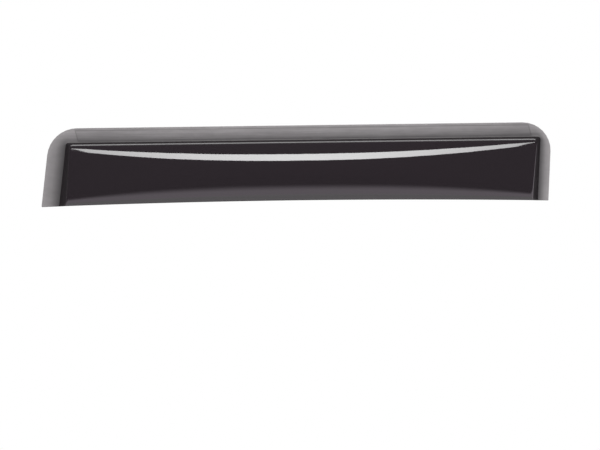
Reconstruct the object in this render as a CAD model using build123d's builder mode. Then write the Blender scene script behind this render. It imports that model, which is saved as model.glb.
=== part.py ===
"""Window rain deflector: a formed acrylic shield and the tape strips that bond it to a door frame.

X runs along the window, Z is up, and the outer face looks along -Y. The bonding faces of the tape
lie in the XZ plane, with the origin at the middle of the top strip.
"""

import os
from math import cos, pi, radians, tan

from build123d import *

os.makedirs("parts", exist_ok=True)

# Shield: sheet and flange outline, in millimetres and degrees
sheet = 2.8                # wall of the formed acrylic, the same all over
shield_length = 612.4      # between the end edges, at the height of the top tape
shield_drop = 86.2         # top tape's middle line down to the lower edge
top_flange = 19.0          # width of the flange along the top
front_flange = 22.0        # width of the flange at the windscreen pillar
rear_flange = 13.8         # width of the flange at the other end
front_lean = 7.0           # lean of the front end from the vertical
rear_lean = 3.2            # lean of the rear end, the same way
front_corner = 37.0        # radius of the upper front corner
rear_corner = 34.0         # radius of the upper rear corner
foot_corner = 1.5          # radius of the two lower corners
lower_arch = 4.1           # rise of the lower edge in the middle

# Raised panel: draft of its walls, its distance from the flange and its crown
front_draft = 24.0
rear_draft = 19.0
top_draft = 7.0
top_standoff = 8.5         # flange to panel at the top
lower_standoff = 19.0      # flange to panel at the lower edge
middle_crown = 6.3         # rise of the panel's section over its chord, half way along
end_crown = 2.4            # the same at the panel's ends
middle_fullness = 2.0      # power of the section's arch: 2 is one even curve
end_fullness = 8.0         # at the ends the panel is flat between rounded edges
crown_falloff = 2.4        # 1 changes evenly along the panel, 3 only near its ends
root_corner = 1.5          # corner of the walls where they leave the flange
brow_corner = 16.0         # corner of the walls at the height of the panel's face
panel_edge = 3.0           # rounding between the panel and its walls
crease = 1.2               # rounding between the walls and the flange, one sheet more behind it
edge_break = 0.5           # rounding of the flange's front rim and of the panel's lower lip
inner_round = 0.6          # least rounding inside the sheet

# Tape
tape_thickness = 1.1
tape_width = 12.7          # top and front strips
rear_tape_width = 9.5
tape_cut = 15.0            # slant of the top strip's ends
front_bare = 33.4          # bare flange past the top strip, at the front
rear_bare = 26.4           # bare flange past the top strip, at the rear
front_tape_length = 69.0
rear_tape_length = 46.0
tape_inset = 2.0           # end strips stop this far above the lower edge

# Places worked out from the sizes
top_tape_length = shield_length - front_bare - rear_bare
front_edge = -top_tape_length / 2 - front_bare
rear_edge = top_tape_length / 2 + rear_bare
top_edge = top_flange / 2
flange_face = tape_thickness + sheet
front_root = front_edge + front_flange / cos(radians(front_lean))
rear_root = rear_edge - rear_flange / cos(radians(rear_lean))
panel_height = shield_drop - top_edge
overshoot = 3 * sheet
below_lip = -shield_drop - 2 * overshoot
wall_reach = lower_standoff + 2 * middle_crown
panel_front = front_root - shield_drop / 2 * tan(radians(front_lean))
panel_rear = rear_root - shield_drop / 2 * tan(radians(rear_lean))
crown_stations = (-1.1, -0.93, -0.75, -0.45, 0, 0.45, 0.75, 0.93, 1.1)
crown_shares = [0.5 - 0.54 * cos(pi * step / 10) for step in range(11)]
tolerance = 0.01


def leaning(start, lean, height):
    """X, at a height, of a line that leans from the vertical."""
    return start + height * tan(radians(lean))


def wall_outline(depth, skin, corner):
    """Outline of the panel's walls at a depth in front of the flange, moved in by a skin."""
    front_inset = depth * tan(radians(front_draft)) + skin / cos(radians(front_draft))
    rear_inset = depth * tan(radians(rear_draft)) + skin / cos(radians(rear_draft))
    front = front_root + front_inset / cos(radians(front_lean))
    rear = rear_root - rear_inset / cos(radians(rear_lean))
    top = -top_edge - depth * tan(radians(top_draft)) - skin / cos(radians(top_draft))
    with BuildSketch(Plane.XZ.offset(flange_face + depth)) as outline:
        with BuildLine():
            Polyline(
                (leaning(front, front_lean, below_lip), below_lip),
                (leaning(rear, rear_lean, below_lip), below_lip),
                (leaning(rear, rear_lean, top), top),
                (leaning(front, front_lean, top), top),
                close=True,
            )
        make_face()
        fillet(outline.vertices().group_by(Axis.Y)[-1], max(corner - skin, inner_round))
    return outline.sketch


def crown_section(station, skin):
    """Upright section under the panel's face. The station runs from -1 to 1 along the panel."""
    place = (panel_front + panel_rear) / 2 + (panel_rear - panel_front) / 2 * station
    to_end = min(abs(station), 1) ** crown_falloff
    crown = middle_crown + (end_crown - middle_crown) * to_end
    fullness = 1 / ((1 - to_end) / middle_fullness + to_end / end_fullness)

    def face_point(share):
        standoff = top_standoff + (lower_standoff - top_standoff) * share
        rise = crown * (1 - abs(2 * share - 1) ** fullness)
        return (skin - flange_face - standoff - rise, -top_edge - panel_height * share)

    above = face_point(crown_shares[0])
    below = face_point(crown_shares[-1])
    with BuildSketch(Plane.YZ.offset(place)) as section:
        with BuildLine():
            Spline([face_point(share) for share in crown_shares])
            Polyline(below, (overshoot, below[1]), (overshoot, above[1]), above)
        make_face()
    return section.sketch


def bulge(start, skin):
    """Solid inside the walls and the panel's face, moved in by a skin, from a depth outwards."""
    with BuildPart() as cover:
        loft([crown_section(station, skin) for station in crown_stations])
    with BuildPart() as body:
        root = wall_outline(start, skin, root_corner)
        brow = wall_outline(wall_reach, skin, brow_corner)
        loft([root, brow], ruled=True)
        add(cover.part, mode=Mode.INTERSECT)
        panel_face = body.faces().sort_by(Axis.Y)[0]
        rim = panel_face.edges().filter_by(lambda edge: edge.center().Z > -shield_drop)
        fillet(rim, max(panel_edge - skin, inner_round))
    return body.part


def on_flange(edge):
    """True for the edges of the flange's front face."""
    box = edge.bounding_box()
    return max(abs(box.min.Y + flange_face), abs(box.max.Y + flange_face)) < tolerance


def at_crease(edge):
    """True for the edges along the feet of the panel's walls."""
    point = edge.center()
    from_front = abs(point.X - leaning(front_root, front_lean, point.Z))
    from_rear = abs(point.X - leaning(rear_root, rear_lean, point.Z))
    from_top = abs(point.Z + top_edge)
    return min(from_front, from_rear, from_top) < root_corner + crease


def at_back(edge):
    """True for the edges of the flange's back face, apart from its feet."""
    box = edge.bounding_box()
    level = max(abs(box.min.Y + tape_thickness), abs(box.max.Y + tape_thickness)) < tolerance
    return level and edge.center().Z > lower_arch + edge_break - shield_drop


def on_lip(edge):
    """True for the edges in front of the flange along the panel's lower lip."""
    low = edge.center().Z < lower_arch + edge_break - shield_drop
    return low and edge.bounding_box().max.Y < -tape_thickness - edge_break


def at_rim(edge):
    """True for the front edges that run round the flange and along the lower lip."""
    return on_lip(edge) or (on_flange(edge) and not at_crease(edge))


outer_bulge = bulge(-sheet / 2, 0)
inner_bulge = bulge(-sheet - overshoot, sheet)

with BuildPart() as shield:
    with BuildSketch(Plane.XZ.offset(tape_thickness)):
        with BuildLine():
            Polyline(
                (leaning(front_edge, front_lean, below_lip), below_lip),
                (leaning(rear_edge, rear_lean, below_lip), below_lip),
                (leaning(rear_edge, rear_lean, top_edge), top_edge),
                (leaning(front_edge, front_lean, top_edge), top_edge),
                close=True,
            )
        make_face()
    extrude(amount=sheet)
    add(outer_bulge)
    fillet(shield.edges().filter_by(on_flange).filter_by(at_crease), crease)
    with BuildSketch(Plane.XZ) as silhouette:
        front_foot = leaning(front_edge, front_lean, -shield_drop)
        rear_foot = leaning(rear_edge, rear_lean, -shield_drop)
        with BuildLine():
            ThreePointArc(
                (front_foot, -shield_drop),
                ((front_foot + rear_foot) / 2, lower_arch - shield_drop),
                (rear_foot, -shield_drop),
            )
            Polyline(
                (rear_foot, -shield_drop),
                (leaning(rear_edge, rear_lean, top_edge), top_edge),
                (leaning(front_edge, front_lean, top_edge), top_edge),
                (front_foot, -shield_drop),
            )
        make_face()
        fillet(silhouette.vertices().group_by(Axis.Y)[0], foot_corner)
        fillet(silhouette.vertices().group_by(Axis.Y)[-1].sort_by(Axis.X)[0], front_corner)
        fillet(silhouette.vertices().group_by(Axis.Y)[-1].sort_by(Axis.X)[-1], rear_corner)
    extrude(amount=flange_face + wall_reach, mode=Mode.INTERSECT)
    fillet(shield.edges().filter_by(at_rim), edge_break)
    add(inner_bulge, mode=Mode.SUBTRACT)
    fillet(shield.edges(Select.NEW).filter_by(at_back), crease + sheet)
shield.part.label = "shield"
export_step(shield.part, "parts/shield.step")

with BuildPart() as top_tape:
    slant = tape_width / 2 * tan(radians(tape_cut))
    with BuildSketch(Plane.XZ):
        with BuildLine():
            Polyline(
                (-top_tape_length / 2 + slant, -tape_width / 2),
                (top_tape_length / 2 + slant, -tape_width / 2),
                (top_tape_length / 2 - slant, tape_width / 2),
                (-top_tape_length / 2 - slant, tape_width / 2),
                close=True,
            )
        make_face()
    extrude(amount=tape_thickness)
top_tape.part.label = "top_tape"
export_step(top_tape.part, "parts/top_tape.step")

front_tape_height = tape_inset + front_tape_length / 2 * cos(radians(front_lean)) - shield_drop
front_tape_middle = leaning((front_edge + front_root) / 2, front_lean, front_tape_height)
with BuildPart() as front_tape:
    with BuildSketch(Plane.XZ):
        with Locations((front_tape_middle, front_tape_height)):
            Rectangle(tape_width, front_tape_length, rotation=-front_lean)
    extrude(amount=tape_thickness)
front_tape.part.label = "front_tape"
export_step(front_tape.part, "parts/front_tape.step")

rear_tape_height = tape_inset + rear_tape_length / 2 * cos(radians(rear_lean)) - shield_drop
rear_tape_middle = leaning((rear_edge + rear_root) / 2, rear_lean, rear_tape_height)
with BuildPart() as rear_tape:
    with BuildSketch(Plane.XZ):
        with Locations((rear_tape_middle, rear_tape_height)):
            Rectangle(rear_tape_width, rear_tape_length, rotation=-rear_lean)
    extrude(amount=tape_thickness)
rear_tape.part.label = "rear_tape"
export_step(rear_tape.part, "parts/rear_tape.step")
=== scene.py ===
from math import cos, pi, radians, sin, tan

import bmesh
import bpy
from mathutils import Matrix, Vector


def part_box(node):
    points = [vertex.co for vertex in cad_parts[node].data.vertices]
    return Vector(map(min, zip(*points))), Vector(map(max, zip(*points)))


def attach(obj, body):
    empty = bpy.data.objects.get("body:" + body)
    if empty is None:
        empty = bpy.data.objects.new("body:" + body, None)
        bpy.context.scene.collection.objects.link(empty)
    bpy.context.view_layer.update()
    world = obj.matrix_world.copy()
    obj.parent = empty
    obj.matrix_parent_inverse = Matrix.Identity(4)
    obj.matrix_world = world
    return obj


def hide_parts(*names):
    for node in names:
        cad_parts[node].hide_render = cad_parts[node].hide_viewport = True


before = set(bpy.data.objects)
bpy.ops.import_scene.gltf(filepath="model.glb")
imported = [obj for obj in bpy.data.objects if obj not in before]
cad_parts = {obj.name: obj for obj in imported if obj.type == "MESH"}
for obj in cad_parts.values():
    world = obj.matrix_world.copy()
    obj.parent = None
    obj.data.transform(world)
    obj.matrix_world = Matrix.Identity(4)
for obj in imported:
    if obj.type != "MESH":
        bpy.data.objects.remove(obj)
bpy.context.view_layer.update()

scene = bpy.context.scene
scene.view_settings.view_transform = "Standard"
print("frame loaded:", ", ".join(sorted(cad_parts)))

# Shield: the formed sheet, in metres and degrees, to the same sizes as its solid
shield = {
    "sheet": 0.0028,
    "length": 0.6124,          # between the end edges, at the height of the top tape
    "drop": 0.0862,            # top tape's middle line down to the feet
    "topFlange": 0.0190,
    "frontFlange": 0.0220,
    "rearFlange": 0.0138,
    "frontBare": 0.0334,       # bare flange past the top tape
    "rearBare": 0.0264,
    "frontLean": 7.0,
    "rearLean": 3.2,
    "frontCorner": 0.037,
    "rearCorner": 0.034,
    "footCorner": 0.0015,
    "lipArch": 0.0041,         # rise of the lower edge in the middle
    "frontDraft": 24.0,
    "rearDraft": 19.0,
    "topDraft": 7.0,
    "topStandoff": 0.0085,     # flange to panel, at the top and at the lip
    "lipStandoff": 0.0190,
    "middleCrown": 0.0063,     # rise of the panel's section over its chord
    "endCrown": 0.0024,
    "middleFullness": 2.0,     # one even curve in the middle
    "endFullness": 8.0,        # flat between rounded edges at the ends
    "crownFalloff": 2.4,
    "rootCorner": 0.0015,      # corner of the walls at the flange
    "browCorner": 0.0160,      # corner of the walls at full reach
    "wallReach": 0.0316,
    "panelEdge": 0.0030,       # rounding outside, then inside the sheet
    "innerEdge": 0.0006,
    "crease": 0.0012,
    "rimRound": 0.0005,
}

# How finely the sheet is divided
mesh = {
    "side": 28,
    "top": 128,
    "arc": 8,
    "edge": 7,
    "crease": 5,
    "footHold": 0.020,         # a row this share up the sides keeps the lip crisp
    "rimHold": 0.08,           # and rows this share across the flange keep it flat
    "sharp": 50.0,             # edges that turn by more degrees than this are rounded
    "lipTilt": -0.37,          # faces of the lip that look down more than this are its cut edge
}

tapeLow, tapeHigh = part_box("top_tape")
halfTape = (shield["length"] - shield["frontBare"] - shield["rearBare"]) / 2
frontEdge = -halfTape - shield["frontBare"]
rearEdge = halfTape + shield["rearBare"]
topEdge = shield["topFlange"] / 2
backFace = tapeLow.y
flangeFace = backFace - shield["sheet"]
frontRoot = frontEdge + shield["frontFlange"] / cos(radians(shield["frontLean"]))
rearRoot = rearEdge - shield["rearFlange"] / cos(radians(shield["rearLean"]))
panelHeight = shield["drop"] - topEdge


def leaning(start, lean, height):
    return start + height * tan(radians(lean))


def lipHeight(x):
    frontFoot = leaning(frontEdge, shield["frontLean"], -shield["drop"])
    rearFoot = leaning(rearEdge, shield["rearLean"], -shield["drop"])
    share = (2 * x - frontFoot - rearFoot) / (rearFoot - frontFoot)
    return shield["lipArch"] * (1 - share * share) - shield["drop"]


# Distance of the panel's outer face from the flange: a sloped sheet with a pillow crown
def faceDepth(x, z):
    panelFront = leaning(frontRoot, shield["frontLean"], -shield["drop"] / 2)
    panelRear = leaning(rearRoot, shield["rearLean"], -shield["drop"] / 2)
    station = (2 * x - panelFront - panelRear) / (panelRear - panelFront)
    toEnd = min(abs(station), 1) ** shield["crownFalloff"]
    crown = shield["middleCrown"] + (shield["endCrown"] - shield["middleCrown"]) * toEnd
    fullness = 1 / ((1 - toEnd) / shield["middleFullness"] + toEnd / shield["endFullness"])
    share = (-topEdge - z) / panelHeight
    standoff = shield["topStandoff"] + (shield["lipStandoff"] - shield["topStandoff"]) * share
    return standoff + crown * (1 - abs(2 * share - 1) ** fullness)


def wallOutline(depth, skin):
    frontDraft, rearDraft, topDraft = (radians(shield[end + "Draft"]) for end in ("front", "rear", "top"))
    frontIn = (depth * tan(frontDraft) + skin / cos(frontDraft)) / cos(radians(shield["frontLean"]))
    rearIn = (depth * tan(rearDraft) + skin / cos(rearDraft)) / cos(radians(shield["rearLean"]))
    corner = shield["rootCorner"]
    corner += (shield["browCorner"] - corner) * max(depth, 0) / shield["wallReach"]
    corner = max(corner - skin, shield["innerEdge"])
    return {
        "front": frontRoot + frontIn,
        "rear": rearRoot - rearIn,
        "top": -topEdge - depth * tan(topDraft) - skin / cos(topDraft),
        "frontCorner": corner,
        "rearCorner": corner,
    }


flangeOutline = {
    "front": frontEdge,
    "rear": rearEdge,
    "top": topEdge,
    "frontCorner": shield["frontCorner"],
    "rearCorner": shield["rearCorner"],
}


# Point of an outline and the way into it: up the front end, along the top and down the rear end
def pathPoint(outline, step):
    side, arc, top = mesh["side"], mesh["arc"], mesh["top"]
    steps = 2 * side + 2 * arc + top
    frontHalf = step <= side + arc + top / 2
    end, sign = ("front", 1) if frontHalf else ("rear", -1)
    lean = radians(shield[end + "Lean"])
    radius = outline[end + "Corner"]
    run = radius * tan((pi / 2 - sign * lean) / 2)
    centreX = leaning(outline[end], shield[end + "Lean"], outline["top"]) + sign * run
    centreZ = outline["top"] - radius
    sideAngle = pi - lean if frontHalf else -lean
    fromFoot = step if frontHalf else steps - step
    if fromFoot <= side:
        footZ = -shield["drop"]
        for attempt in range(4):
            footZ = lipHeight(leaning(outline[end], shield[end + "Lean"], footZ))
        share = mesh["footHold"] + (1 - mesh["footHold"]) * (fromFoot - 1) / (side - 1) if fromFoot else 0
        z = footZ + (centreZ + radius * sin(sideAngle) - footZ) * share
        return (leaning(outline[end], shield[end + "Lean"], z), z), (sign * cos(lean), -sign * sin(lean))
    if fromFoot <= side + arc:
        angle = sideAngle + (pi / 2 - sideAngle) * (fromFoot - side) / arc
        spoke = (cos(angle), sin(angle))
        return (centreX + radius * spoke[0], centreZ + radius * spoke[1]), (-spoke[0], -spoke[1])
    ends = []
    for name, way in (("front", 1), ("rear", -1)):
        reach = outline[name + "Corner"] * tan((pi / 2 - way * radians(shield[name + "Lean"])) / 2)
        ends.append(leaning(outline[name], shield[name + "Lean"], outline["top"]) + way * reach)
    share = (step - side - arc) / top
    return (ends[0] + (ends[1] - ends[0]) * share, outline["top"]), (0, -1)


# Circular rounding of a corner between two points that lie as far from it
def rounding(start, corner, end, cells):
    weight = cos((pi - (start - corner).angle(end - corner)) / 2)
    points = []
    for cell in range(1, cells + 1):
        t = cell / cells
        a, b, c = (1 - t) ** 2, 2 * t * (1 - t) * weight, t * t
        points.append((start * a + corner * b + end * c) / (a + b + c))
    return points


def tangentRun(a, b, radius):
    return radius * tan((pi - a.angle(b)) / 2)


# Section through the sheet's face: panel's rim, rounded edge, wall, crease and flange
def sheetProfile(step, skin):
    depth = shield["topStandoff"]
    for attempt in range(8):
        (x, z), inward = pathPoint(wallOutline(depth, skin), step)
        depth = faceDepth(x, z) - skin
    edge = Vector((x, flangeFace - depth, z))
    (x, z), rootInward = pathPoint(wallOutline(-skin, skin), step)
    root = Vector((x, flangeFace + skin, z))
    (x, z), rimInward = pathPoint(flangeOutline, step)
    rim = Vector((x, flangeFace + skin, z))

    probe = shield["panelEdge"]
    x, z = edge.x + inward[0] * probe, edge.z + inward[1] * probe
    panelWay = (Vector((x, flangeFace + skin - faceDepth(x, z), z)) - edge).normalized()
    wallWay = (root - edge).normalized()
    flangeWay = Vector((-rootInward[0], 0, -rootInward[1]))
    edgeRun = tangentRun(panelWay, wallWay, shield["innerEdge"] if skin else shield["panelEdge"])
    creaseRun = tangentRun(-wallWay, flangeWay, shield["crease"] + skin)
    panelRim = edge + panelWay * edgeRun
    panelRim.y = flangeFace + skin - faceDepth(panelRim.x, panelRim.z)
    onFlange = root + flangeWay * creaseRun
    points = [panelRim]
    points += rounding(panelRim, edge, edge + wallWay * edgeRun, mesh["edge"])
    points.append(root - wallWay * creaseRun)
    points += rounding(points[-1], root, onFlange, mesh["crease"])
    points += [onFlange.lerp(rim, mesh["rimHold"]), onFlange.lerp(rim, 1 - mesh["rimHold"]), rim]
    if step in (0, 2 * mesh["side"] + 2 * mesh["arc"] + mesh["top"]):
        for point in points:
            point.z = lipHeight(point.x)
    return points


# Draws a row of edges out to the next ring of the section
def drawOut(bm, path, places):
    edges = [bm.edges.get(pair) for pair in zip(path, path[1:])]
    made = bmesh.ops.extrude_edge_only(bm, edges=edges)["geom"]
    fresh = {item for item in made if isinstance(item, bmesh.types.BMVert)}
    row = []
    for vert, place in zip(path, places):
        twin = next(edge.other_vert(vert) for edge in vert.link_edges if edge.other_vert(vert) in fresh)
        twin.co = place
        row.append(twin)
    return row


# One face of the sheet: skin 0 is the outer one, skin of a sheet's thickness the inner one
def addSkin(bm, skin, marks):
    across = mesh["top"] + mesh["arc"]
    up = mesh["side"] + mesh["arc"] // 2
    steps = 2 * up + across
    profiles = [sheetProfile(step, skin) for step in range(steps + 1)]
    front = [profiles[row][0] for row in range(up + 1)]
    top = [profiles[up + column][0] for column in range(across + 1)]
    rear = [profiles[steps - row][0] for row in range(up + 1)]

    # The panel is a grid stretched between its front end, rear end, top and lip
    grid = bmesh.ops.create_grid(bm, x_segments=across, y_segments=up, size=0.5)["verts"]
    at = {}
    for vert in grid:
        column, row = round((vert.co.x + 0.5) * across), round((vert.co.y + 0.5) * up)
        at[column, row] = vert
        u = (top[column].x - top[0].x) / (top[-1].x - top[0].x)
        v = (front[row].z - front[0].z) / (front[-1].z - front[0].z)
        lip = front[0].lerp(rear[0], u)
        lip.z = lipHeight(lip.x)
        place = front[row].lerp(rear[row], u) + lip.lerp(top[column], v)
        place -= front[0].lerp(rear[0], u).lerp(front[-1].lerp(rear[-1], u), v)
        place.y = flangeFace + skin - faceDepth(place.x, place.z)
        vert.co = place

    path = [at[0, row] for row in range(up + 1)]
    path += [at[column, up] for column in range(1, across + 1)]
    path += [at[across, row] for row in range(up - 1, -1, -1)]
    rings = len(profiles[0])
    shares = {rings - 4: 0, rings - 3: mesh["rimHold"], rings - 2: 1 - mesh["rimHold"], rings - 1: 1}
    for ring in range(1, rings):
        path = drawOut(bm, path, [profile[ring] for profile in profiles])
        for step, vert in enumerate(path):
            toTop = (min(step, steps - step) - mesh["side"]) / mesh["arc"]
            vert[marks["end"]] = 1 - min(max(toTop, 0), 1)
            if ring in shares and not skin:
                vert[marks["satin"]] = 1
                vert[marks["rimShare"]] = shares[ring]
            elif ring > mesh["edge"] and not skin:
                vert[marks["wall"]] = 1
    return path[0], path[-1]


def makeShield():
    bm = bmesh.new()
    marks = {name: bm.verts.layers.float.new(name) for name in ("satin", "rimShare", "wall", "end")}
    feet = [foot for skin in (0, shield["sheet"]) for foot in addSkin(bm, skin, marks)]
    bmesh.ops.bevel(bm, geom=feet, affect="VERTICES", offset=shield["footCorner"], segments=4,
                    profile=0.5, material=-1)
    openEdges = [edge for edge in bm.edges if edge.is_boundary]
    bmesh.ops.bridge_loops(bm, edges=openEdges)
    bmesh.ops.recalc_face_normals(bm, faces=bm.faces[:])
    sharp = [edge for edge in bm.edges if edge.calc_face_angle(0) > radians(mesh["sharp"])]
    bmesh.ops.bevel(bm, geom=sharp, affect="EDGES", offset=shield["rimRound"], segments=3,
                    profile=0.5, material=-1)
    # Second material, painted shade: a darker, duller copy of the acrylic on the walls with their crease,
    # and on the lip's cut edge
    for face in bm.faces:
        onWall = any(vert[marks["wall"]] > 0.5 > vert[marks["satin"]] for vert in face.verts)
        isLow = face.calc_center_median().z < -topEdge - panelHeight / 2
        onLip = isLow and face.normal.z < mesh["lipTilt"]
        face.material_index = 1 if onWall or onLip else 0
    return finishPiece("shieldSheet", bm, "shield")


def finishPiece(name, bm, node):
    data = bpy.data.meshes.new(name)
    bm.to_mesh(data)
    bm.free()
    for face in data.polygons:
        face.use_smooth = True
    piece = bpy.data.objects.new(name, data)
    scene.collection.objects.link(piece)
    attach(piece, "root")
    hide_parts(node)
    print("made", name, "with", len(data.polygons), "faces")
    return piece


shieldSheet = makeShield()

# Foam tape: strips behind the flange, cut to length, with edges that draw in a little
tape = {
    "width": 0.0127,
    "rearWidth": 0.0095,
    "cut": 15.0,               # slant of the top strip's ends
    "frontLength": 0.069,
    "rearLength": 0.046,
    "inset": 0.002,            # end strips stop this far above the feet
    "edgeTuck": 0.00018,
    "edgeRound": 0.00012,
    "cellLength": 0.012,
}


def makeTape(name, node, length, width, cut, middle, turn):
    bm = bmesh.new()
    cells = max(2, round(length / tape["cellLength"]))
    strip = bmesh.ops.create_grid(bm, x_segments=cells, y_segments=2, size=0.5)["verts"]
    bmesh.ops.scale(bm, vec=(length, width, 1), verts=strip)
    for vert in strip:
        vert.co.x -= vert.co.y * tan(radians(cut))
    thickness = tapeHigh.y - tapeLow.y
    raised = bmesh.ops.extrude_face_region(bm, geom=bm.faces[:])["geom"]
    raised = [item for item in raised if isinstance(item, bmesh.types.BMVert)]
    bmesh.ops.translate(bm, vec=(0, 0, thickness), verts=raised)
    bmesh.ops.recalc_face_normals(bm, faces=bm.faces[:])
    upright = [edge for edge in bm.edges if abs(edge.verts[0].co.z - edge.verts[1].co.z) > thickness / 2]
    cutVerts = bmesh.ops.subdivide_edges(bm, edges=upright, cuts=2, use_grid_fill=True)["geom_inner"]
    cutVerts = [item for item in cutVerts if isinstance(item, bmesh.types.BMVert)]
    drawIn = (1 - 2 * tape["edgeTuck"] / length, 1 - 2 * tape["edgeTuck"] / width, 1)
    bmesh.ops.scale(bm, vec=drawIn, verts=cutVerts)
    rims = [edge for edge in bm.edges if edge.calc_face_angle(0) > radians(mesh["sharp"])]
    bmesh.ops.bevel(bm, geom=rims, affect="EDGES", offset=tape["edgeRound"], segments=2,
                    profile=0.5, material=-1)
    bmesh.ops.rotate(bm, matrix=Matrix.Rotation(pi / 2, 3, "X"), verts=bm.verts[:])
    bmesh.ops.rotate(bm, matrix=Matrix.Rotation(radians(turn), 3, "Y"), verts=bm.verts[:])
    bmesh.ops.translate(bm, vec=(middle[0], tapeHigh.y, middle[1]), verts=bm.verts[:])
    return finishPiece(name, bm, node)


def endTape(name, node, end, length, width):
    lean = shield[end + "Lean"]
    edge, root = (frontEdge, frontRoot) if end == "front" else (rearEdge, rearRoot)
    height = tape["inset"] + length / 2 * cos(radians(lean)) - shield["drop"]
    middle = (leaning((edge + root) / 2, lean, height), height)
    return makeTape(name, node, length, width, 0, middle, lean - 90)


topTape = makeTape("topTape", "top_tape", 2 * halfTape, tape["width"], tape["cut"], (0, 0), 0)
frontTape = endTape("frontTape", "front_tape", "front", tape["frontLength"], tape["width"])
rearTape = endTape("rearTape", "rear_tape", "rear", tape["rearLength"], tape["rearWidth"])


def addNode(tree, kind, inputs=None, **settings):
    node = tree.nodes.new(kind)
    for name, value in settings.items():
        setattr(node, name, value)
    for name, value in (inputs or {}).items():
        if isinstance(value, bpy.types.NodeSocket):
            tree.links.new(value, node.inputs[name])
        else:
            node.inputs[name].default_value = value
    return node


def calc(tree, operation, first, second=0.0, clamp=False):
    return addNode(tree, "ShaderNodeMath", {0: first, 1: second}, operation=operation,
                   use_clamp=clamp).outputs[0]


def mapped(tree, value, low, high, outLow=0.0, outHigh=1.0, smooth=True):
    sockets = {"Value": value, "From Min": low, "From Max": high, "To Min": outLow, "To Max": outHigh}
    return addNode(tree, "ShaderNodeMapRange", sockets,
                   interpolation_type="SMOOTHSTEP" if smooth else "LINEAR").outputs["Result"]


def mixed(tree, share, first, second, blend="MIX"):
    node = addNode(tree, "ShaderNodeMix", {0: share, 6: first, 7: second}, data_type="RGBA",
                   blend_type=blend)
    return node.outputs[2]


def greyRamp(tree, value, stops):
    node = addNode(tree, "ShaderNodeValToRGB", {"Fac": value})
    elements = node.color_ramp.elements
    while len(elements) < len(stops):
        elements.new(1.0)
    for element, (place, grey) in zip(elements, stops):
        element.position = place
        element.color = (grey, grey, grey, 1)
    return node.outputs["Color"]


def newGroup(name, inputs, outputs):
    group = bpy.data.node_groups.new(name, "ShaderNodeTree")
    for label, kind, value in inputs:
        socket = group.interface.new_socket(label, in_out="INPUT", socket_type=kind)
        if value is not None:
            socket.default_value = value
    for label, kind in outputs:
        group.interface.new_socket(label, in_out="OUTPUT", socket_type=kind)
    return group, group.nodes.new("NodeGroupInput").outputs, group.nodes.new("NodeGroupOutput").inputs


def newMaterial(name):
    material = bpy.data.materials.new(name)
    material.use_nodes = True
    tree = material.node_tree
    place = addNode(tree, "ShaderNodeTexCoord").outputs["Object"]
    return material, tree, tree.nodes["Principled BSDF"], place


# Cloudy variation of a surface, stretched along any axis
def makeMottle():
    group, inside, out = newGroup("mottle", (
        ("Vector", "NodeSocketVector", None),
        ("Stretch", "NodeSocketVector", (1, 1, 1)),
        ("Scale", "NodeSocketFloat", 100.0),
        ("Contrast", "NodeSocketFloat", 0.3),
    ), (("Value", "NodeSocketFloat"),))
    stretched = addNode(group, "ShaderNodeVectorMath", {0: inside["Vector"], 1: inside["Stretch"]},
                        operation="MULTIPLY").outputs[0]
    noise = addNode(group, "ShaderNodeTexNoise",
                    {"Vector": stretched, "Scale": inside["Scale"], "Detail": 3.0, "Roughness": 0.55})
    low = calc(group, "SUBTRACT", 0.5, inside["Contrast"])
    high = calc(group, "ADD", 0.5, inside["Contrast"])
    group.links.new(mapped(group, noise.outputs["Fac"], low, high), out["Value"])
    return group


mottle = makeMottle()

acrylic = {
    "panel": (0.0232, 0.0186, 0.0220, 1),      # smoke tint of the raised panel
    "cast": (1.04, 0.99, 1.01),                # tint of the flange
    # Painted light and shade of the flange from its crease to its rim, along the top and down the front
    # end: greys that stand in for light shining through the tinted sheet, darkened to painted shade at the
    # crease
    "topLightShadeGreys": ((0.0, 0.165), (0.16, 0.150), (0.36, 0.200), (0.82, 0.288)),
    "endLightShadeGreys": ((0.0, 0.056), (0.25, 0.120), (0.55, 0.208), (1.0, 0.272)),
    "rearLift": 1.22,                          # painted light: the rear end is a little lighter
    "bareLift": 1.14,                          # painted light: so is the top past the ends of the tape, with no tape behind it
    "farShade": 0.87,                          # the painted light of the top flange dims towards the tape's ends
    "farStart": 0.55,                          # from this share of its half length
    "tapeLine": 0.74,                          # shade along the tape's outline
    "streakScale": 520.0,
    "streakRange": (0.89, 1.10),               # streaks along the top flange
    "cloudScale": 190.0,
    "cloudRange": (0.95, 1.05),                # clouds over the whole flange
    "panelRough": 0.030,
    "flangeRough": 0.30,
    "panelDull": 0.006,                        # roughness that the clouds add
    "flangeDull": 0.04,
    "panelCoat": 0.75,
    "flangeCoat": 0.10,
    "wave": 0.00003,                           # height of the forming waves, then of the flange's grain
    "grain": 0.000012,
    "waveScale": 42.0,
    "grainScale": 1300.0,
    "coatRough": 0.02,
    "ior": 1.49,
}


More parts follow.
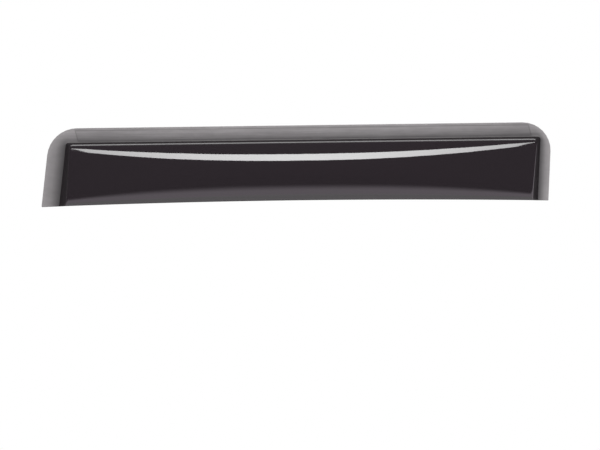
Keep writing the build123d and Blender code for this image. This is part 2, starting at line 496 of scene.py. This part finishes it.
def makeAcrylic():
    material, tree, bsdf, place = newMaterial("smokeAcrylic")
    axes = addNode(tree, "ShaderNodeSeparateXYZ", {0: place}).outputs
    satin, rimShare, end = (addNode(tree, "ShaderNodeAttribute", attribute_name=name).outputs["Fac"]
                            for name in ("satin", "rimShare", "end"))

    def cloudy(stretch, scale, contrast):
        return addNode(tree, "ShaderNodeGroup", {"Vector": place, "Stretch": stretch, "Scale": scale,
                                                 "Contrast": contrast}, node_tree=mottle).outputs["Value"]

    # The top strip shows through the flange, with slanted ends
    slanted = calc(tree, "ADD", axes["X"], calc(tree, "MULTIPLY", axes["Z"], tan(radians(tape["cut"]))))
    pastEnd = calc(tree, "SUBTRACT", calc(tree, "ABSOLUTE", slanted), halfTape)
    pastSide = calc(tree, "SUBTRACT", calc(tree, "ABSOLUTE", axes["Z"]), tape["width"] / 2)
    gap = calc(tree, "ABSOLUTE", calc(tree, "MAXIMUM", pastEnd, pastSide))
    tapeLine = mapped(tree, gap, 0.0003, 0.0011, acrylic["tapeLine"], 1.0)
    bareLift = mapped(tree, pastEnd, -0.0004, 0.0004, 1.0, acrylic["bareLift"])

    streaks = cloudy((0.03, 1, 1), acrylic["streakScale"], 0.28)
    clouds = cloudy((0.35, 1, 1), acrylic["cloudScale"], 0.25)
    rearLift = mapped(tree, axes["X"], frontRoot, rearRoot, 1.0, acrylic["rearLift"], False)
    # Painted light through the sheet, with painted shade towards the crease, on the ends and along the top
    endLightShade = calc(tree, "MULTIPLY", greyRamp(tree, rimShare, acrylic["endLightShadeGreys"]), rearLift)
    topLightShade = calc(tree, "MULTIPLY", greyRamp(tree, rimShare, acrylic["topLightShadeGreys"]), bareLift)
    topLightShade = calc(tree, "MULTIPLY", topLightShade, tapeLine)
    fromMiddle = calc(tree, "ABSOLUTE", axes["X"])
    farStart = halfTape * acrylic["farStart"]
    farShade = mapped(tree, fromMiddle, farStart, halfTape, 1.0, acrylic["farShade"])
    topLightShade = calc(tree, "MULTIPLY", topLightShade, farShade)
    streaked = mapped(tree, streaks, 0.0, 1.0, *acrylic["streakRange"], False)
    topLightShade = calc(tree, "MULTIPLY", topLightShade, streaked)
    grey = addNode(tree, "ShaderNodeMix", {0: end, 2: topLightShade, 3: endLightShade}).outputs[0]
    grey = calc(tree, "MULTIPLY", grey, mapped(tree, clouds, 0.0, 1.0, *acrylic["cloudRange"], False))
    flange = addNode(tree, "ShaderNodeVectorMath", {0: acrylic["cast"], 3: grey},
                     operation="SCALE").outputs[0]
    tree.links.new(mixed(tree, satin, acrylic["panel"], flange), bsdf.inputs["Base Color"])

    dull = mapped(tree, satin, 0.0, 1.0, acrylic["panelDull"], acrylic["flangeDull"], False)
    dull = calc(tree, "MULTIPLY", clouds, dull)
    rough = mapped(tree, satin, 0.0, 1.0, acrylic["panelRough"], acrylic["flangeRough"], False)
    tree.links.new(calc(tree, "ADD", rough, dull), bsdf.inputs["Roughness"])
    coat = mapped(tree, satin, 0.0, 1.0, acrylic["panelCoat"], acrylic["flangeCoat"], False)
    tree.links.new(coat, bsdf.inputs["Coat Weight"])

    wave = calc(tree, "MULTIPLY", cloudy((0.25, 1, 1), acrylic["waveScale"], 0.35), acrylic["wave"])
    grain = calc(tree, "MULTIPLY", cloudy((1, 1, 1), acrylic["grainScale"], 0.35), acrylic["grain"])
    height = addNode(tree, "ShaderNodeMix", {0: satin, 2: wave, 3: grain}).outputs[0]
    bump = addNode(tree, "ShaderNodeBump", {"Strength": 1.0, "Distance": 1.0, "Height": height})
    tree.links.new(bump.outputs["Normal"], bsdf.inputs["Normal"])
    bsdf.inputs["Coat Roughness"].default_value = acrylic["coatRough"]
    bsdf.inputs["IOR"].default_value = acrylic["ior"]
    return material


matteShade = {
    "deep": (0.0165, 0.0138, 0.0155, 1),       # painted shade: walls and cut edges as a darker copy of the acrylic that hardly shines
    "light": (0.0245, 0.0208, 0.0232, 1),
    "cloudScale": 170.0,
    "rough": 0.50,
    "roughSpread": 0.05,
    "shine": 0.08,
}


# Painted shade for the walls, crease and cut edges: a darker, duller copy of the smoke acrylic
def makeMatteShade():
    material, tree, bsdf, place = newMaterial("smokeMatteShade")
    clouds = addNode(tree, "ShaderNodeGroup", {"Vector": place, "Scale": matteShade["cloudScale"]},
                     node_tree=mottle).outputs["Value"]
    tree.links.new(mixed(tree, clouds, matteShade["deep"], matteShade["light"]), bsdf.inputs["Base Color"])
    low, high = matteShade["rough"] - matteShade["roughSpread"], matteShade["rough"] + matteShade["roughSpread"]
    rough = mapped(tree, clouds, 0.0, 1.0, low, high, False)
    tree.links.new(rough, bsdf.inputs["Roughness"])
    bsdf.inputs["Specular IOR Level"].default_value = matteShade["shine"]
    return material


foam = {
    "core": (0.060, 0.060, 0.063, 1),
    "cell": (0.120, 0.120, 0.124, 1),
    "glue": (0.050, 0.050, 0.053, 1),          # tacky bonding face
    "glueDepth": 0.0002,
    "cellScale": 2600.0,
    "cellDepth": 0.00015,
    "cloudScale": 240.0,
    "rough": 0.78,
    "glueRough": 0.40,
    "roughSpread": 0.08,
}


def makeFoam():
    material, tree, bsdf, place = newMaterial("foamTape")
    depth = addNode(tree, "ShaderNodeSeparateXYZ", {0: place}).outputs["Y"]
    glue = mapped(tree, depth, tapeHigh.y - foam["glueDepth"], tapeHigh.y - foam["glueDepth"] / 4)
    cells = addNode(tree, "ShaderNodeTexVoronoi",
                    {"Vector": place, "Scale": foam["cellScale"]}).outputs["Distance"]
    clouds = addNode(tree, "ShaderNodeGroup", {"Vector": place, "Scale": foam["cloudScale"]},
                     node_tree=mottle).outputs["Value"]
    shade = calc(tree, "MULTIPLY", cells, 0.6)
    shade = calc(tree, "ADD", shade, calc(tree, "MULTIPLY", clouds, 0.5), clamp=True)
    core = mixed(tree, shade, foam["core"], foam["cell"])
    film = mixed(tree, calc(tree, "MULTIPLY", clouds, 0.6), foam["glue"], foam["core"])
    tree.links.new(mixed(tree, glue, core, film), bsdf.inputs["Base Color"])
    rough = mapped(tree, glue, 0.0, 1.0, foam["rough"], foam["glueRough"], False)
    spread = mapped(tree, clouds, 0.0, 1.0, -foam["roughSpread"], foam["roughSpread"], False)
    rough = calc(tree, "ADD", rough, spread)
    tree.links.new(rough, bsdf.inputs["Roughness"])
    height = calc(tree, "MULTIPLY", cells, mapped(tree, glue, 0.0, 1.0, 1.0, 0.3, False))
    bump = addNode(tree, "ShaderNodeBump",
                   {"Strength": 0.5, "Distance": foam["cellDepth"], "Height": height})
    tree.links.new(bump.outputs["Normal"], bsdf.inputs["Normal"])
    return material


shieldSheet.data.materials.append(makeAcrylic())
shieldSheet.data.materials.append(makeMatteShade())
foamTape = makeFoam()
for strip in (topTape, frontTape, rearTape):
    strip.data.materials.append(foamTape)
print("materials set")

# Studio: white world, pale floor sheet, a dark curtain round the front, soft lamps
studio = {
    "floorHeight": -0.55,
    "floorFull": 1.9,          # floor is solid to this radius and gone at the next
    "floorGone": 2.5,
    "floorColour": (0.84, 0.84, 0.84, 1),
    "floorRough": 0.9,
    "curtainRadius": 2.6,
    "curtainTop": 3.2,
    "curtainTurn": 122.0,      # degrees to each side of the front
    "curtainDark": 0.05,       # dark from this height up, pale from the next down
    "curtainPale": -0.35,
    "curtainRise": 0.6,        # the pale part climbs to the sides, by this times the square of X
    "curtainRiseEnd": 0.6,     # and no further past this X
    "curtainBlack": 0.02,
    "curtainGlow": 1.03,
    "curtainColour": (1.0, 0.90, 1.0, 1),
    "fill": 0.86,
    "lampAim": (0, -0.02, -0.03),
    "lampFade": 1.6,           # power of the lamps' dimming towards their ends
}
lamps = {
    "strip": {"place": (0, -1.84, 1.17), "size": (0.825, 0.28), "watts": 7.15, "endDim": 0.36},
    "overhead": {"place": (0, -0.25, 2.0), "size": (2.4, 0.8), "watts": 24.0, "endDim": 0.0},
}


def makeWorld():
    world = bpy.data.worlds.new("studio")
    scene.world = world
    world.use_nodes = True
    tree = world.node_tree
    ray = addNode(tree, "ShaderNodeLightPath").outputs
    seen = calc(tree, "MAXIMUM", ray["Is Camera Ray"], ray["Is Glossy Ray"])
    seen = calc(tree, "MAXIMUM", seen, ray["Is Transmission Ray"])
    fill = tree.nodes["Background"]
    fill.inputs["Strength"].default_value = studio["fill"]
    fill.inputs["Color"].default_value = (1, 1, 1, 1)
    white = addNode(tree, "ShaderNodeBackground", {"Color": (1, 1, 1, 1), "Strength": 1.0})
    either = addNode(tree, "ShaderNodeMixShader", {0: seen, 1: fill.outputs[0], 2: white.outputs[0]})
    tree.links.new(either.outputs[0], tree.nodes["World Output"].inputs["Surface"])


def stagePiece(name, bm, material):
    data = bpy.data.meshes.new(name)
    bm.to_mesh(data)
    bm.free()
    data.materials.append(material)
    piece = bpy.data.objects.new(name, data)
    scene.collection.objects.link(piece)
    return piece


def makeFloor():
    bm = bmesh.new()
    bmesh.ops.create_grid(bm, x_segments=1, y_segments=1, size=studio["floorGone"])
    bmesh.ops.translate(bm, vec=(0, 0, studio["floorHeight"]), verts=bm.verts[:])
    material, tree, bsdf, place = newMaterial("floorSheet")
    bsdf.inputs["Base Color"].default_value = studio["floorColour"]
    bsdf.inputs["Roughness"].default_value = studio["floorRough"]
    flat = addNode(tree, "ShaderNodeVectorMath", {0: place, 1: (1, 1, 0)}, operation="MULTIPLY").outputs[0]
    radius = addNode(tree, "ShaderNodeVectorMath", {0: flat}, operation="LENGTH").outputs["Value"]
    tree.links.new(mapped(tree, radius, studio["floorGone"], studio["floorFull"]), bsdf.inputs["Alpha"])
    stagePiece("floor", bm, material)


def makeCurtain():
    bm = bmesh.new()
    sheet = bmesh.ops.create_grid(bm, x_segments=40, y_segments=1, size=0.5)["verts"]
    for vert in sheet:
        angle = radians(2 * vert.co.x * studio["curtainTurn"])
        z = studio["floorHeight"] + (vert.co.y + 0.5) * (studio["curtainTop"] - studio["floorHeight"])
        vert.co = (studio["curtainRadius"] * sin(angle), -studio["curtainRadius"] * cos(angle), z)
    material, tree, bsdf, place = newMaterial("curtain")
    tree.nodes.remove(bsdf)
    axes = addNode(tree, "ShaderNodeSeparateXYZ", {0: place}).outputs
    sideways = calc(tree, "MINIMUM", calc(tree, "ABSOLUTE", axes["X"]), studio["curtainRiseEnd"])
    rise = calc(tree, "MULTIPLY", calc(tree, "POWER", sideways, 2.0), studio["curtainRise"])
    height = calc(tree, "SUBTRACT", axes["Z"], rise)
    glow = mapped(tree, height, studio["curtainDark"], studio["curtainPale"],
                  studio["curtainBlack"], studio["curtainGlow"])
    shader = addNode(tree, "ShaderNodeEmission", {"Color": studio["curtainColour"], "Strength": glow})
    tree.links.new(shader.outputs[0], tree.nodes["Material Output"].inputs["Surface"])
    curtain = stagePiece("curtain", bm, material)
    curtain.visible_camera = False
    curtain.visible_diffuse = False
    curtain.visible_shadow = False


def makeLamps():
    for name, lamp in lamps.items():
        data = bpy.data.lights.new(name, "AREA")
        data.shape = "RECTANGLE"
        data.size, data.size_y = lamp["size"]
        data.energy = lamp["watts"]
        data.use_nodes = True
        tree = data.node_tree
        along = addNode(tree, "ShaderNodeNewGeometry").outputs["Parametric"]
        along = addNode(tree, "ShaderNodeSeparateXYZ", {0: along}).outputs["X"]
        centred = calc(tree, "SUBTRACT", calc(tree, "MULTIPLY", along, 2.0), 1.0)
        fromMiddle = calc(tree, "ABSOLUTE", centred)
        dim = calc(tree, "MULTIPLY", calc(tree, "POWER", fromMiddle, studio["lampFade"]), lamp["endDim"])
        tree.links.new(calc(tree, "SUBTRACT", 1.0, dim), tree.nodes["Emission"].inputs["Strength"])
        holder = bpy.data.objects.new(name, data)
        scene.collection.objects.link(holder)
        holder.location = lamp["place"]
        aim = Vector(studio["lampAim"]) - holder.location
        holder.rotation_euler = aim.to_track_quat("-Z", "Y").to_euler()
        holder.visible_camera = False


# Camera: square to the bonding plane, with the deflector in the upper half of the picture
view = {
    "lens": 250.0,
    "sensor": 36.0,
    "imageWidth": 600,
    "imageHeight": 450,
    "metresPerPixel": 0.00122,
    "tapePixel": (303.2, 133.05),  # where the middle of the top tape falls in the picture
    "roll": 0.76,                  # degrees, rear end higher
}


def makeCamera():
    data = bpy.data.cameras.new("camera")
    data.lens = view["lens"]
    data.sensor_width = view["sensor"]
    data.clip_end = 100
    camera = bpy.data.objects.new("camera", data)
    scene.collection.objects.link(camera)
    distance = view["imageWidth"] * view["metresPerPixel"] * view["lens"] / view["sensor"]
    right = (view["tapePixel"][0] - view["imageWidth"] / 2) * view["metresPerPixel"]
    above = (view["imageHeight"] / 2 - view["tapePixel"][1]) * view["metresPerPixel"]
    roll = radians(view["roll"])
    across = -right * cos(roll) - above * sin(roll)
    height = right * sin(roll) - above * cos(roll)
    camera.location = (across, -distance, height)
    camera.rotation_euler = (pi / 2, roll, 0)
    scene.camera = camera


makeWorld()
makeFloor()
makeCurtain()
makeLamps()
makeCamera()
print("studio and camera set")
